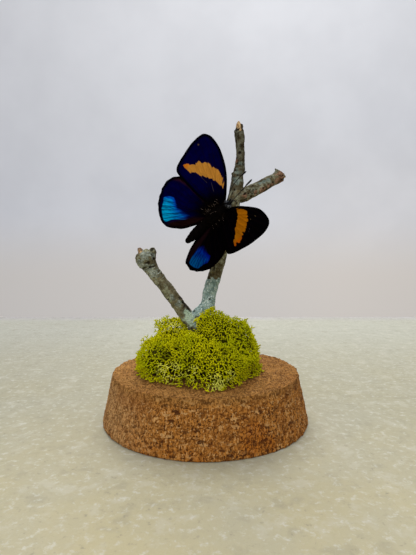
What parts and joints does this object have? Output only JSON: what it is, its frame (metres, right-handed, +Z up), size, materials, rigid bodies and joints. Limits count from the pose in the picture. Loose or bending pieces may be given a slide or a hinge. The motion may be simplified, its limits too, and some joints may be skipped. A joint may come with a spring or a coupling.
{
  "type": "mounted butterfly on a cork base",
  "caption": "Dried butterfly with open wings on a forked twig that stands in lichen moss on a thick round cork, as a small display piece.",
  "frame": {"origin": "middle of the cork's flat underside", "axes": "+Z up from the underside to the twig's tip, +X to the right and +Y to the back, seen from the front of the display"},
  "size_m": [0.076, 0.076, 0.1109],
  "materials": {
    "cork": "raw pressed cork granules, matte",
    "bark": "rough bark with grey-green lichen crust",
    "moss": "dyed dry lichen, fine branching strands, matte",
    "butterfly": "velvety wing scales, dark with an orange band and an iridescent blue patch"
  },
  "bodies": {
    "root": {"cork_base": "cork", "twig_main_stem": "bark", "twig_left_branch": "bark", "twig_upper_branch": "bark", "twig_right_branch": "bark", "moss_tuft_front": "moss", "moss_tuft_middle": "moss", "moss_tuft_front_left": "moss", "moss_tuft_back_left": "moss", "moss_tuft_top": "moss", "moss_tuft_right": "moss", "moss_tuft_back": "moss", "butterfly": "butterfly"}
  },
  "joints": []
}
